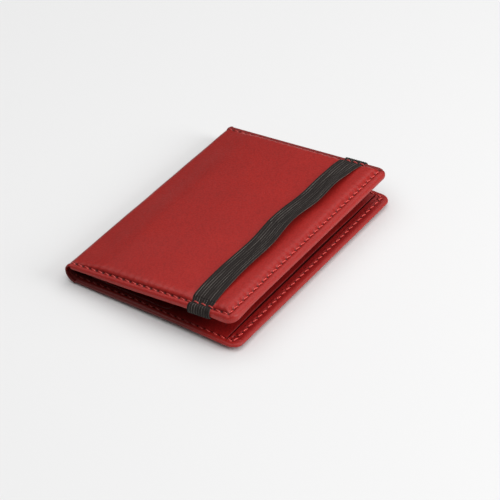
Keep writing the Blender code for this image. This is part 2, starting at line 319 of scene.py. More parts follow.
def plate(name, cover, finish, grid, outward, top, bottom, roll, closed=True, rings=6):
    """A closed plate on a cover: two faces on one grid, joined round the border by half ellipses.

    grid is (along, y), top and bottom are depths on it, and roll is how far the half ellipses stand out. A
    border that isn't closed stops flat at the near end. It returns the piece and its vertices' along and y.
    """
    along, y = grid
    rows, columns = along.shape
    count = rows * columns
    upper, lower = grid_index(rows, columns), grid_index(rows, columns, count)
    border = outline_index(upper, closed)
    angles = np.linspace(0, math.pi, rings + 2)[1:-1, None]
    middle = ((top + bottom) / 2).ravel()[border]
    half = ((bottom - top) / 2).ravel()[border]
    swing = roll * np.sin(angles)
    wall_along = along.ravel()[border] + outward[0].ravel()[border] * swing
    wall_y = y.ravel()[border] + outward[1].ravel()[border] * swing
    wall_depth = middle - half * np.cos(angles)
    ring = grid_index(rings, len(border), 2 * count)
    wall = np.concatenate([border[None], ring, border[None] + count])
    if closed:
        wall = np.concatenate([wall, wall[:, :1]], axis=1)
    faces = [grid_faces(upper), grid_faces(lower.T), grid_faces(wall.T)[:, ::-1]]
    flat_faces = []
    if not closed:
        near_end = np.stack([upper[0], lower[0]])
        flat_faces = [grid_faces(near_end), wall[None, :, 0], wall[None, ::-1, -1]]
    if cover.mirrored:
        faces = [group[:, ::-1] for group in faces]
        flat_faces = [group[:, ::-1] for group in flat_faces]
    all_along = np.concatenate([along.ravel(), along.ravel(), wall_along.ravel()])
    all_y = np.concatenate([y.ravel(), y.ravel(), wall_y.ravel()])
    all_depth = np.concatenate([top.ravel(), bottom.ravel(), wall_depth.ravel()])
    piece = make_piece(name, cover.place(all_along, all_y, all_depth), faces, finish, flat_faces)
    add_uv(piece, all_along, all_y)
    round_wall = np.repeat(np.sin(angles), len(border), axis=1).ravel()
    add_attribute(piece, "cut_edge", np.concatenate([np.zeros(2 * count), round_wall]))
    return piece, all_along, all_y


# The padded leather covers


def edge_distance(along, y):
    """Distance from a cover's rounded outline, which has no edge at the spine."""
    from_end, from_side = WIDTH - along, HALF_LENGTH - np.abs(y)
    near = np.minimum(from_end, from_side)
    reach = np.hypot(CORNER_RADIUS - from_end, CORNER_RADIUS - from_side)
    corner = (from_end < CORNER_RADIUS) & (from_side < CORNER_RADIUS)
    return np.where(corner, CORNER_RADIUS - reach, near)


def from_seam(along, y, softness=0.0):
    """Distance inwards from the seam, less than 0 outside it. softness rounds off the corners' mitres."""
    from_end, from_side = LAST_HOLE - along, SEAM_SIDE - np.abs(y)
    never_zero = 1e-9
    soft = softness * np.maximum(np.minimum(from_end, from_side), 0.5 * MM) + never_zero
    share = np.clip(0.5 + (from_end - from_side) / (2 * soft), 0, 1)
    return from_end * (1 - share) + from_side * share - soft * share * (1 - share)


def stitch_phase(along, y):
    """How many stitches a place is from the seam's corner, along the nearer edge."""
    beside = (LAST_HOLE - along) * SIDE_STITCHES / (LAST_HOLE - SEAM_START)
    across = (SEAM_SIDE + y) * OPENING_STITCHES / (2 * SEAM_SIDE)
    return np.where(LAST_HOLE - along > SEAM_SIDE - np.abs(y), beside, across)


def sewn_part(along):
    """1 where the cover is sewn, fading to 0 beside the spine."""
    return smooth(along, SEAM_START - 2.0 * MM, SEAM_START + 1.0 * MM)


def seam_pull(along, y):
    """How deep the seam draws the leather in: a trough, with a dimple at each needle hole."""
    distance, phase = from_seam(along, y), stitch_phase(along, y)
    trough = TROUGH_DEPTH * np.exp(-((distance / TROUGH_WIDTH) ** 2))
    beside_hole = np.abs(phase - np.round(phase)) * HOLE_SPACING
    dimple = HOLE_DEPTH * np.exp(-((beside_hole / HOLE_WIDTH) ** 2) - (distance / HOLE_WIDTH) ** 2)
    return sewn_part(along) * (trough + dimple)


def seam_pleats(along, y, seed):
    """Small pleats, one to a stitch and a little uneven, that fade inwards from the seam."""
    inside = np.maximum(from_seam(along, y, 0.5), 0)
    uneven = waves(along, y, 9 * MM, seed)
    fade = np.exp(-inside / (1.8 * MM)) * smooth(inside, 0.0, 0.9 * MM)
    ripple = np.cos(2 * math.pi * stitch_phase(along, y) + 0.9 * uneven)
    return sewn_part(along) * PUCKER * ripple * (0.75 + 0.35 * uneven) * fade


def seam_shade(along, y):
    """How much painted shade the seam gets: full in the needle holes, and less in the trough and just inside
    it.
    """
    beside = LAST_HOLE - along > SEAM_SIDE - np.abs(y)
    fold = np.exp(-(((from_seam(along, y) - 0.5 * MM) / (0.4 * MM)) ** 2)) * smooth(along, 0, 3 * MM)
    pulled = seam_pull(along, y) / (TROUGH_DEPTH + HOLE_DEPTH)
    return np.minimum(pulled + np.where(beside, 0.34, 0.10) * fold, 1.0)


def inner_depth(cover, along, y):
    """Depth of the inner face: less beside the spine's ends, more at the upper cover's front corner."""
    beside = 1 - smooth(HALF_LENGTH - np.abs(y), 3.0 * MM, 5.8 * MM)
    thinned = 0.80 * MM * (1 - smooth(along, 2 * MM, 32 * MM)) * beside
    from_corner = np.hypot(along - LAST_HOLE, SEAM_SIDE + y)
    droop = 0.9 * MM * np.exp(-((from_corner / (8 * MM)) ** 2)) * cover.mirrored
    return INNER_FACE - thinned + droop


def rim_rise(cover, along, y):
    """How far a rim is lifted off its plane: only the lower cover's, which rests on its padding."""
    if cover.mirrored:
        return np.zeros(np.shape(along))
    outside = np.exp(-np.maximum(from_seam(along, y, 0.5), 0) / (1.5 * MM))
    return RIM_LIFT * smooth(along, 6 * MM, 60 * MM) * outside


def face_height(cover, along, y):
    """How far the leather's outer face stands above the rim's plane.

    A soft bead, the seam's trough and dimples, pleats that fade inwards from it, a steep rise to the padded
    face and a slight crown. Near the spine the seam and the padding fade out. The band presses the upper
    cover's edges down a little, and the table flattens the lower cover's face.
    """
    seed = 3 if cover.mirrored else 4
    inside = np.maximum(from_seam(along, y, 0.5), 0)
    padding = smooth(along, cover.radius - 1.6 * MM, cover.radius + 15.0 * MM)
    bead = BEAD_HEIGHT * np.exp(-(((from_seam(along, y) + 1.3 * MM) / (0.7 * MM)) ** 2))
    rise = FACE_RISE * (1 - np.exp(-((inside / FACE_SLOPE) ** 1.3))) * padding
    if cover.mirrored:
        under_band = 1 - smooth(np.abs(along - band_centre(y)), 4 * MM, 8 * MM)
        rise = rise * (1 - 0.5 * under_band * np.exp(-inside / (4 * MM)))
    crown = FACE_CROWN * (1 - (y / HALF_LENGTH) ** 2) * smooth(inside, 0.0, 26 * MM) * padding
    drift = 0.05 * MM * waves(along, y, 26 * MM, seed + 10) * smooth(inside, 0.0, 9 * MM)
    height = bead - seam_pull(along, y) - seam_pleats(along, y, seed) + rise + crown + drift
    if cover.mirrored:
        return height
    room = CROWN_ROOM - 0.05 * MM
    pressed = np.where(height > 0, room * (1 - np.exp(-np.maximum(height, 0) / room)), height)
    return pressed - rim_rise(cover, along, y)


def leather_painted_shade(cover, along, y):
    """Painted shade on the leather: darker towards the spine, along the spine's edge, on the upper cover's
    back edge and on the lower one's long edges.
    """
    near_spine = 0.16 * (1 - smooth(along, 0.0, 62 * MM)) + 0.30 * (1 - smooth(along, 0.0, 3.0 * MM))
    if cover.mirrored:
        back_edge = smooth(y, HALF_LENGTH - 3.6 * MM, HALF_LENGTH - 2.0 * MM)
        return np.maximum(near_spine, 0.42 * back_edge)
    long_edge = smooth(np.abs(y), HALF_LENGTH - 4 * MM, HALF_LENGTH - 2 * MM)
    return np.maximum(near_spine, 0.75 * long_edge * (1 - smooth(along, 50 * MM, 72 * MM)))


def leather_cover(cover, finish, stands_for):
    """Skin, rolled rim and turned-back edge of one cover: one closed shell, up to the spine's middle."""
    xs = spaced(cover.reach, WIDTH - ROLL_WIDTH, 0.0, 6 * MM, 0.35 * MM, 0.52 * MM)
    side = HALF_LENGTH - ROLL_WIDTH
    ys = spaced(-side, side, 6 * MM, 6 * MM, 0.35 * MM, 0.55 * MM)
    along, y = np.meshgrid(xs, ys, indexing="ij")
    along, y, bent = round_corners(along, y, WIDTH, HALF_LENGTH, CORNER_RADIUS)
    outward = cover_outward(along, y, bent)
    past_edge = -edge_distance(along, y)
    top = -face_height(cover, along, y)
    turned_in = smooth(past_edge, -TURN_WIDTH - 0.2 * MM, -TURN_WIDTH + 0.2 * MM)
    turned_in = turned_in * smooth(along, cover.radius + 0.1 * MM, cover.radius + 0.6 * MM)
    bottom = np.maximum(top + LEATHER, turned_in * EDGE + (1 - turned_in) * (top + LEATHER))
    rim = smooth(past_edge, -2.6 * MM, -2.2 * MM) * (along > cover.radius)
    just_covered = 0.02 * MM
    bottom = np.maximum(bottom, rim * (inner_depth(cover, along, y) - just_covered))
    name = f"{cover.name}_padded_leather"
    piece, *plan = plate(name, cover, finish, (along, y), outward, top, bottom, ROLL_WIDTH, closed=False)
    hollow = np.zeros(len(piece.data.vertices))
    hollow[: along.size] = seam_shade(along, y).ravel()
    add_attribute(piece, "hollow", hollow)
    # Painted shade, darker towards the spine and on edges that face away from the light.
    add_attribute(piece, "painted_shade", leather_painted_shade(cover, *plan))
    cover.bend(piece)
    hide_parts(*stands_for)
    return piece


# Inner layers


def layer(
    name, cover, finish, span, half, radii, depths, roll, step, unevenness=0.0, seed=1, mouth=None, sewn=False
):
    """A rounded plate between two depths on a cover.

    It reaches over span in along and half to each side in y. radii are those of its corners at the near and
    far ends. mouth moves the far end back by a function of y. A sewn plate is drawn in at the seam.
    """
    near, far = span
    xs = spaced(near + roll, far - roll, 2 * MM, 3 * MM, step / 2, step)
    ys = spaced(-half + roll, half - roll, 3 * MM, 3 * MM, step / 2, step)
    along, y = np.meshgrid(xs, ys, indexing="ij")
    beside = half - np.abs(y) < np.minimum(far - along, along - near)
    towards_end = np.where(along > (near + far) / 2, 1.0, -1.0)
    outward = [np.where(beside, 0.0, towards_end), np.where(beside, np.sign(y), 0.0)]
    for end, radius in zip(span, radii):
        bent = (np.abs(along - end) < radius) & (half - np.abs(y) < radius)
        along, y, turned_out = round_corners(along, y, end, half, radius)
        outward = [np.where(bent, new, old) for new, old in zip(turned_out, outward)]
    if mouth is not None:
        along = along - mouth(y) * smooth(along, near, far)
    sway = unevenness * waves(along, y, 22 * MM, seed)
    top, bottom = (np.full(along.shape, depth) + sway for depth in depths)
    if sewn:
        bottom = inner_depth(cover, along, y) + sway
        top = bottom - (depths[1] - depths[0])
        pull = INNER_PULL * seam_pull(along, y)
        bottom = bottom - pull + 0.8 * seam_pleats(along, y, seed) + corner_gathers(along, y)
    piece, all_along, _ = plate(name, cover, finish, (along, y), outward, top, bottom, roll)
    hollow = np.zeros(len(all_along))
    if sewn:
        hollow[along.size : 2 * along.size] = seam_shade(along, y).ravel()
    add_attribute(piece, "hollow", hollow)
    # Painted shade: the inner panels darken towards the spine, where the closed holder is dark inside.
    add_attribute(piece, "painted_shade", 0.76 - 0.62 * smooth(all_along, 46 * MM, 74 * MM))
    return piece


def belongs(piece, body, node):
    """Lets a piece ride a body, in the place of one of the frame's nodes."""
    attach(piece, body)
    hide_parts(node)


def add_inner_layers(finishes):
    """Foam, lining, pocket and opening strip of both covers, and the lower cover's card slot."""
    for cover in (LOWER, UPPER):
        foam = layer(
            f"{cover.name}_foam_pad", cover, finishes["pale_foam"],
            span=(cover.radius + 3.6 * MM, WIDTH - FOAM_INSET), half=HALF_LENGTH - FOAM_INSET,
            radii=(1.5 * MM, 1.5 * MM), depths=(0.10 * MM, 0.80 * MM), roll=0.5 * MM, step=1.6 * MM,
        )
        belongs(foam, cover.name, f"{cover.name}_foam_padding")

        lining = lining_sheet(cover, finishes["red_lining"])
        stands_for = ["upper_cover_lining"] if cover.mirrored else ["lower_cover_lining", "spine_lining"]
        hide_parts(*stands_for)

        pocket = layer(
            f"{cover.name}_pocket_panel", cover, finishes["pocket_leather"],
            span=(9.0 * MM, 71.2 * MM), half=HALF_LENGTH - PANEL_INSET, radii=(1.2 * MM, 0.6 * MM),
            depths=(PANEL_BACK, INNER_FACE), roll=0.28 * MM, step=0.8 * MM, unevenness=0.02 * MM,
            seed=21 if cover.mirrored else 22, mouth=pocket_mouth, sewn=True,
        )
        belongs(pocket, cover.name, f"{cover.name}_card_pocket")

        strip = layer(
            f"{cover.name}_opening_strip", cover, finishes["pocket_leather"],
            span=(71.5 * MM, WIDTH - PANEL_INSET), half=HALF_LENGTH - PANEL_INSET,
            radii=(0.4 * MM, 3.25 * MM), depths=(PANEL_BACK, INNER_FACE),
            roll=0.28 * MM, step=0.5 * MM, sewn=True,
        )
        belongs(strip, cover.name, f"{cover.name}_mouth_strip")

    slot = layer(
        "lower_cover_slot_panel", LOWER, finishes["pocket_leather"],
        span=(9.2 * MM, 45.0 * MM), half=HALF_LENGTH - 3.6 * MM, radii=(1.0 * MM, 2.0 * MM),
        depths=(3.0 * MM, 3.5 * MM), roll=0.25 * MM, step=1.1 * MM, unevenness=0.02 * MM, seed=23,
    )
    belongs(slot, "lower_cover", "lower_cover_card_slot")


def corner_gathers(along, y):
    """Short wrinkles that fan out from the last hole at each corner, where the leather is bunched."""
    dx, dy = along - LAST_HOLE, SEAM_SIDE - np.abs(y)
    reach, angle = np.hypot(dx, dy), np.arctan2(dy, dx)
    window = smooth(reach, 0.3 * MM, 1.2 * MM) * (1 - smooth(reach, 2.5 * MM, 5.5 * MM))
    return 0.22 * MM * window * np.sin(9 * angle + 1.2 * waves(along, y, 3 * MM, 31))


def pocket_mouth(y):
    """The mouth of a pocket sags back a little between its sewn ends."""
    return 0.5 * MM * (1 - (y / HALF_LENGTH) ** 2) + 0.08 * MM * np.sin(y / (7 * MM))


def lining_sheet(cover, finish):
    """The thin lining, laid over a cover's back and round half of the fold."""
    inset, roll = 0.6 * MM, 0.1 * MM
    edge = inset + roll
    xs = spaced(cover.reach, WIDTH - edge, 8 * MM, 3 * MM, 0.5 * MM, 1.5 * MM)
    ys = spaced(-HALF_LENGTH + edge, HALF_LENGTH - edge, 3 * MM, 3 * MM, 0.6 * MM, 1.5 * MM)
    square = np.meshgrid(xs, ys, indexing="ij")
    along, y, bent = round_corners(*square, WIDTH - inset, HALF_LENGTH - inset, CORNER_RADIUS - inset)
    outward = cover_outward(*square, bent)
    top = np.full(along.shape, LINING_DEPTH)
    bottom = top + LINING_THICKNESS
    name = f"{cover.name}_lining_sheet"
    piece, *_ = plate(name, cover, finish, (along, y), outward, top, bottom, roll, closed=False, rings=2)
    cover.bend(piece)
    return piece


# Stitches


def seam_holes():
    """Plan positions of the needle holes: the front from the spine, the opening edge, and the back."""
    front = np.linspace(SEAM_START, LAST_HOLE, SIDE_STITCHES + 1)
    across = np.linspace(-SEAM_SIDE, SEAM_SIDE, OPENING_STITCHES + 1)
    front_row = np.stack([front, np.full(len(front), -SEAM_SIDE)], axis=1)
    end_row = np.stack([np.full(len(across), LAST_HOLE), across], axis=1)[1:-1]
    back_row = front_row[::-1] * (1, -1)
    return np.concatenate([front_row, end_row, back_row])


def stitch_row(name, cover, finish, holes, surface, outward):
    """One seam's visible stitches: two-lobed spindles that twist along their length and dip into their holes.

    surface holds the depth that each stitch lies on. outward is -1 for stitches on the outer face and 1 for
    inner ones.
    """
    radius, share, slant = 0.32 * MM, 0.88, 0.6 * MM
    lobes, turns, flatness = 0.16, 1.5, 0.85
    raised, dip = 1.15 if outward < 0 else 0.45, 2.0
    steps, around = 8, 8
    start, end = holes[:-1], holes[1:]
    length = np.hypot(*(end - start).T)
    direction_x, direction_y = ((end - start) / length[:, None]).T[:, :, None, None]
    from_x, from_y = start.T[:, :, None, None]
    length = length[:, None, None]
    t = np.linspace(0, 1, steps + 1)[None, :, None]
    angle = (np.arange(around) * 2 * math.pi / around)[None, None, :]
    blunt_ends = np.where((t == 0) | (t == 1), 0.45, 1.0)
    girth = np.sqrt(np.clip(np.sin(math.pi * (0.06 + 0.88 * t)), 0, 1)) * blunt_ends
    reach = radius * girth * (1 + lobes * np.cos(2 * angle - 2 * math.pi * turns * t))
    run = length * (0.5 + (t - 0.5) * share)
    across = reach * np.cos(angle) + slant * (0.5 - t)
    up = reach * np.sin(angle) * flatness
    x = from_x + direction_x * run - direction_y * across
    y = from_y + direction_y * run + direction_x * across
    lift = radius * (raised - dip * (2 * t[..., 0] - 1) ** 4)
    depth = (surface[:, None] + outward * lift)[..., None] + outward * up
    index = np.arange(x.size).reshape(x.shape)
    wrapped = np.concatenate([index, index[:, :, :1]], axis=2)
    corners = [wrapped[:, :-1, :-1], wrapped[:, 1:, :-1], wrapped[:, 1:, 1:], wrapped[:, :-1, 1:]]
    caps = np.concatenate([index[:, 0, :], index[:, -1, ::-1]])
    faces = [np.stack(corners, axis=-1).reshape(-1, 4), caps]
    if cover.mirrored != (outward > 0):
        faces = [group[:, ::-1] for group in faces]
    piece = make_piece(name, cover.place(x, y, depth), faces, finish)
    thread_run, thread_turn = np.broadcast_to(t * 2.6 * MM, x.shape), np.broadcast_to(angle, x.shape)
    add_uv(piece, thread_run.ravel(), thread_turn.ravel())
    # Painted shade: the inner stitches darken away from the opening edge, and the outer ones along the two
    # long sides.
    shaded = 0.8 * (1 - smooth(x, 55 * MM, 70 * MM))
    beside = 0.40 * (np.abs(y) > SEAM_SIDE - 1 * MM)
    add_attribute(piece, "painted_shade", (shaded if outward > 0 else beside).ravel())
    cover.bend(piece)
    return piece


# The elastic band


def band_centre(y):
    """The band's middle in along, which wanders a little between its sewn ends."""
    stations = np.array([0, 4, 11, 21, 32, 43, 57, 67, 78, 92, 103, 111.5]) * MM - HALF_LENGTH
    middles = np.array([62.3, 62.2, 61.8, 61.8, 62.2, 62.4, 61.6, 61.9, 62.7, 62.3, 62.1, 62.5]) * MM
    return through(stations, middles, y)


def band_lift(y):
    """How far the band's middle stands off the padded face, and how much its far edge lifts above that."""
    stations = np.array([4.4, 9, 18, 30, 44, 60, 72, 88, 100, 107.1]) * MM - HALF_LENGTH
    middle = np.array([0.0, 0.10, 0.25, 0.40, 0.55, 1.00, 0.70, 0.75, 0.20, 0.0]) * MM
    far_edge = np.array([0.0, 0.1, 0.5, 1.0, 1.2, 1.7, 1.2, 1.7, 0.5, 0.0]) * MM
    return through(stations, middle, y), through(stations, far_edge, y)


def rib_profile(across):
    """The woven ribs' height on one face: a row of rounded cords with narrow dips between them."""
    rib = np.abs(np.sin(math.pi * BAND_RIBS * (across / BAND_WIDTH + 0.5)))
    return 0.20 * MM * (np.sqrt(rib) - 1)


def ribbon(name, finish, y, depth, middle, edge_lift):
    """A ribbed band along stations in (y, depth), with its width in along, round middle.

    edge_lift raises its far edge at each station. A seam that crosses it draws it narrower.
    """
    up_y, up_depth = directions(y, depth)
    lanes = BAND_RIBS * 8 + 1
    across = np.linspace(-0.5, 0.5, lanes)[None, :] * BAND_WIDTH
    rounding = np.sqrt(np.clip(1 - (np.abs(across) / (BAND_WIDTH / 2)) ** 18, 0, 1))
    raised = edge_lift[:, None] * smooth(across, -0.1 * BAND_WIDTH, 0.5 * BAND_WIDTH)
    thick = (BAND_THICKNESS / 2 + rib_profile(across)) * rounding
    drawn = np.exp(-(((SEAM_SIDE - np.abs(y)) / (1.3 * MM)) ** 2)) * (np.abs(depth) < 1.5 * MM)
    lanes_at = middle[:, None] + across * (1 - 0.10 * drawn[:, None])
    outer, inner = (
        (lanes_at, y[:, None] + up_y[:, None] * offset, depth[:, None] + up_depth[:, None] * offset)
        for offset in (raised + thick, raised - thick)
    )
    loop = [np.concatenate([a, b[:, -2:0:-1]], axis=1) for a, b in zip(outer, inner)]
    stations, around = loop[0].shape
    index = grid_index(stations, around)
    wrapped = np.concatenate([index, index[:, :1]], axis=1)
    ends = [index[:1, ::-1], index[-1:, :]]
    piece = make_piece(name, UPPER.place(*loop), [grid_faces(wrapped)], finish, ends)
    travelled = np.concatenate([[0], np.cumsum(np.hypot(np.diff(y), np.diff(depth)))])
    lane = np.concatenate([across[0], across[0, -2:0:-1]])
    add_uv(piece, np.broadcast_to(lane, (stations, around)).ravel(), np.repeat(travelled, around))
    return piece


def over_face(y):
    """Depth of the band's centreline over the outer face: drawn down where the seam crosses it."""
    lift, _ = band_lift(y)
    distance = SEAM_SIDE - np.abs(y)
    padding = smooth(distance, 0.2 * MM, 2.6 * MM)
    rest = face_height(UPPER, band_centre(y), np.sign(y) * np.minimum(np.abs(y), SEAM_SIDE - 1.5 * MM))
    drawn = 0.45 * MM * np.exp(-((distance / (0.8 * MM)) ** 2))
    return -(rest * padding + BAND_THICKNESS / 2 + lift - drawn)


def needle_depth(cover, along, y):
    """Depth that the outer stitches lie on: the leather's trough, or the band's top where they cross it."""
    leather = -face_height(cover, along, y)
    on_band = np.abs(along - band_centre(y)) < 0.5 * BAND_WIDTH
    crossing = cover.mirrored & on_band & (np.abs(y) > SEAM_SIDE - 1 * MM)
    return np.where(crossing, over_face(y) - 0.4 * BAND_THICKNESS, leather)


def wrap_path(side):
    """The band round one long edge, from under the cover, round the rim, and over the seam: (y, depth)."""
    outer, bend = HALF_LENGTH + BAND_CLEARANCE, 1.05 * MM
    bottom = INNER_FACE + BAND_CLEARANCE
    quarter = np.linspace(0, math.pi / 2, 9)
    under_y = np.linspace(HALF_LENGTH - 6 * MM, outer - bend, 8)[:-1]
    over_y = np.linspace(HALF_LENGTH - 1.0 * MM, HALF_LENGTH - BAND_WRAPPED, 14)
    over_depth = over_face(side * over_y)
    lower_y = outer - bend + bend * np.sin(quarter)
    lower_depth = bottom - bend + bend * np.cos(quarter)
    lower_depth[-1] += 0.05 * MM  # keeps the two quarter turns' meeting points apart
    upper_y = outer - (outer - over_y[0]) * (1 - np.cos(quarter[:-1]))
    upper_depth = bottom - bend - (bottom - bend - over_depth[0]) * np.sin(quarter[:-1])
    path_y = np.concatenate([under_y, lower_y, upper_y, over_y])
    path_depth = np.concatenate([np.full(len(under_y), bottom), lower_depth, upper_depth, over_depth])
    return side * path_y, path_depth


def directions(y, depth):
    """Unit directions square to a path in (y, depth), towards less depth where y grows along it."""
    run_y, run_depth = np.gradient(y), np.gradient(depth)
    length = np.hypot(run_y, run_depth)
    return run_depth / length, -run_y / length


def add_elastic(finish):
    """The band in four lengths: a sewn wrap at each long edge, and two halves of the free span."""
    half = HALF_LENGTH - BAND_WRAPPED
    for side, end in ((-1, "front"), (1, "back")):
        y, depth = wrap_path(side)
        if side > 0:
            y, depth = y[::-1], depth[::-1]
        middle = band_centre(np.clip(y, -HALF_LENGTH, HALF_LENGTH))
        wrap = ribbon(f"elastic_{end}_wrap", finish, y, depth, middle, np.zeros(len(y)))
        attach(wrap, "upper_cover")
        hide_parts(f"elastic_{end}_anchor")

    for side, end in ((-1, "front"), (1, "back")):
        y = np.linspace(min(side * half, 0), max(side * half, 0), 130)
        _, far_edge = band_lift(y)
        span = ribbon(f"elastic_{end}_span", finish, y, over_face(y), band_centre(y), far_edge)
        ends_y = np.array([side * half, 0.0])
        sewn, free = UPPER.place(band_centre(ends_y), ends_y, np.full(2, -0.5 * MM))
        free[[0, 2]] = sewn[[0, 2]]
        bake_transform(span)
        if side < 0:
            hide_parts("elastic_band_span")


# Finishes


def new_group(name, inputs, outputs):
    """A shader node group. Its inputs are (name, kind, default), and its outputs (name, kind)."""
    group = bpy.data.node_groups.new(name, "ShaderNodeTree")
    for label, kind, default in inputs:
        socket = group.interface.new_socket(label, in_out="INPUT", socket_type=f"NodeSocket{kind}")
        if default is not None:
            socket.default_value = default
    for label, kind in outputs:
        group.interface.new_socket(label, in_out="OUTPUT", socket_type=f"NodeSocket{kind}")
    return group, group.nodes.new("NodeGroupInput"), group.nodes.new("NodeGroupOutput")


def feed(tree, socket, value):
    """Links another node's output to an input socket, or sets the socket to a plain value."""
    if isinstance(value, bpy.types.NodeSocket):
        tree.links.new(value, socket)
    else:
        socket.default_value = value


def add(tree, kind, settings=None, **inputs):
    """Adds a shader node. An input is named with _ for each space, or numbered, as i2 for the third."""
    made = tree.nodes.new(f"ShaderNode{kind}")
    for label, value in (settings or {}).items():
        setattr(made, label, value)
    for label, value in inputs.items():
        numbered = label[0] == "i" and label[1:].isdigit()
        feed(tree, made.inputs[int(label[1:]) if numbered else label.replace("_", " ")], value)
    return made


def place_group(tree, group, **inputs):
    made = tree.nodes.new("ShaderNodeGroup")
    made.node_tree = group
    for label, value in inputs.items():
        feed(tree, made.inputs[label.replace("_", " ")], value)
    return made


def ranged(tree, value, low, high, to_low, to_high):
    """Turns low into to_low and high into to_high, evenly between them and held beyond them."""
    made = add(tree, "MapRange", Value=value, From_Min=low, From_Max=high, To_Min=to_low, To_Max=to_high)
    return made.outputs[0]


def mixed_colour(tree, share, first, second):
    """The first colour where share is 0, and the second where it is 1."""
    return add(tree, "Mix", {"data_type": "RGBA"}, i0=share, i6=first, i7=second).outputs[2]


def combined(tree, operation, *values):
    """One of Blender's maths operations on one value or more."""
    numbered = {f"i{place}": value for place, value in enumerate(values)}
    return add(tree, "Math", {"operation": operation}, **numbered).outputs[0]


def add_relief(tree, shader, height, strength, distance):
    """Feeds the shader's normal with a bump as high as height says."""
    bump = add(tree, "Bump", Strength=strength, Distance=distance, Height=height)
    tree.links.new(bump.outputs[0], shader.inputs["Normal"])


def ramp(tree, factor, *stops):
    """A colour ramp through (position, colour) stops."""
    made = add(tree, "ValToRGB", Fac=factor)
    elements = made.color_ramp.elements
    elements[0].position, elements[0].color = stops[0][0], (*stops[0][1], 1.0)
    elements[1].position, elements[1].color = stops[-1][0], (*stops[-1][1], 1.0)
    for position, colour in stops[1:-1]:
        elements.new(position).color = (*colour, 1.0)
    return made.outputs["Color"]


def crest(tree, value):
    """Rounded crests one unit wide: the size of the sine of pi times the value."""
    sine = combined(tree, "SINE", combined(tree, "MULTIPLY", value, math.pi))
    return combined(tree, "ABSOLUTE", sine)


def leather_grain():
    """Group: pebbled leather. Height is low in the creases between pebbles, and Mottle is blotchy."""
    group, start, end = new_group(
        "leather_grain",
        [("Vector", "Vector", None), ("Scale", "Float", 1300.0), ("Mottle Scale", "Float", 70.0)],
        [("Height", "Float"), ("Mottle", "Float")],
    )
    vector, scale, mottle_scale = (start.outputs[label] for label in ("Vector", "Scale", "Mottle Scale"))
    warp = add(group, "TexNoise", Vector=vector, Scale=420.0, Detail=2.0)
    bent = add(
        group, "VectorMath", {"operation": "MULTIPLY_ADD"},
        i0=warp.outputs["Color"], i1=(0.0006,) * 3, i2=vector,
    )
    cells = add(
        group, "TexVoronoi", {"feature": "SMOOTH_F1"},
        Vector=bent.outputs[0], Scale=scale, Smoothness=0.35,
    )
    fine = add(group, "TexNoise", Vector=vector, Scale=scale, Detail=3.0, Roughness=0.6)
    pebble = ranged(group, cells.outputs["Distance"], 0.15, 0.75, 1.0, 0.0)
    height = combined(group, "MULTIPLY_ADD", fine.outputs["Fac"], 0.5, pebble)
    blotch = add(group, "TexNoise", Vector=vector, Scale=mottle_scale, Detail=4.0, Roughness=0.55)
    group.links.new(height, end.inputs["Height"])
    group.links.new(blotch.outputs["Fac"], end.inputs["Mottle"])
    return group


def plain_weave():
    """Group: over-and-under threads. Height is the crest of the thread on top, and Gap is 1 between them."""
    group, start, end = new_group(
        "plain_weave",
        [("Vector", "Vector", None), ("Threads", "Float", 2500.0)],
        [("Height", "Float"), ("Gap", "Float")],
    )
    threads = start.outputs["Threads"]
    scaled = add(group, "VectorMath", {"operation": "SCALE"}, i0=start.outputs["Vector"], Scale=threads)
    parts = add(group, "SeparateXYZ", Vector=scaled.outputs[0])
    warp, weft = (crest(group, parts.outputs[label]) for label in ("X", "Y"))
    checker = add(group, "TexChecker", Vector=scaled.outputs[0], Scale=1.0)
    on_top = add(group, "Mix", {"data_type": "FLOAT"}, i0=checker.outputs["Fac"], i2=warp, i3=weft)
    gap = ranged(group, combined(group, "MAXIMUM", warp, weft), 0.15, 0.5, 1.0, 0.0)
    group.links.new(on_top.outputs[0], end.inputs["Height"])
    group.links.new(gap, end.inputs["Gap"])
    return group


def finish(name, preview, roughness, **constants):
    """A material with its shader's constant values set, its node tree, and that shader."""
    made = bpy.data.materials.new(name)
    made.use_nodes = True
    made.diffuse_color = (*preview, 1.0)
    shader = made.node_tree.nodes["Principled BSDF"]
    shader.inputs["Roughness"].default_value = roughness
    for label, value in constants.items():
        shader.inputs[label.replace("_", " ")].default_value = value
    return made, made.node_tree, shader


def painted_shade_mix():
    """Group: a colour turned towards a painted shade colour by an amount."""
    group, start, end = new_group(
        "painted_shade_mix",
        [("Color", "Color", None), ("Dye", "Color", None), ("Amount", "Float", 0.0)],
        [("Color", "Color")],
    )
    colour, dye, amount = (start.outputs[label] for label in ("Color", "Dye", "Amount"))
    group.links.new(mixed_colour(group, amount, colour, dye), end.inputs["Color"])
    return group


